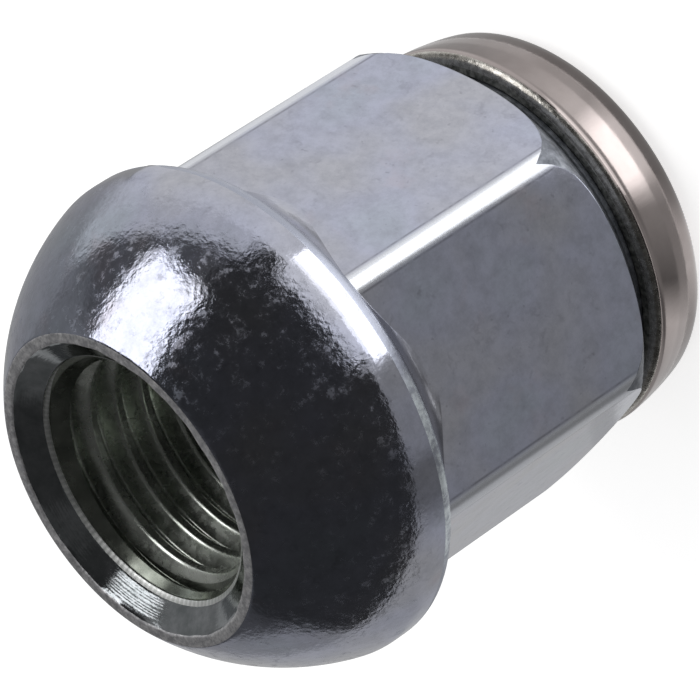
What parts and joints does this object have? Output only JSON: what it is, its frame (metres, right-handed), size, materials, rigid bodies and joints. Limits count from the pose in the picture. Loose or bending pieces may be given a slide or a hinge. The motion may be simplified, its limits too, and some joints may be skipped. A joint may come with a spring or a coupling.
{
  "type": "lug nut",
  "caption": "Capped wheel nut with a hexagon, a flange with a ball seat, a threaded mouth and a drawn cap that closes its rear end.",
  "frame": {"origin": "centre of the cap's flat crown, on which the nut stands", "axes": "+Z along the thread's axis and out of the mouth, +X through one corner of the hexagon"},
  "size_m": [0.0232, 0.0232, 0.0268],
  "materials": {
    "plated_steel": "blue-white zinc plating, glossy and slightly mottled",
    "drawn_stainless": "smooth drawn stainless sheet, satin to bright"
  },
  "bodies": {
    "root": {"nut_body": "plated_steel", "end_cap": "drawn_stainless"}
  },
  "joints": []
}
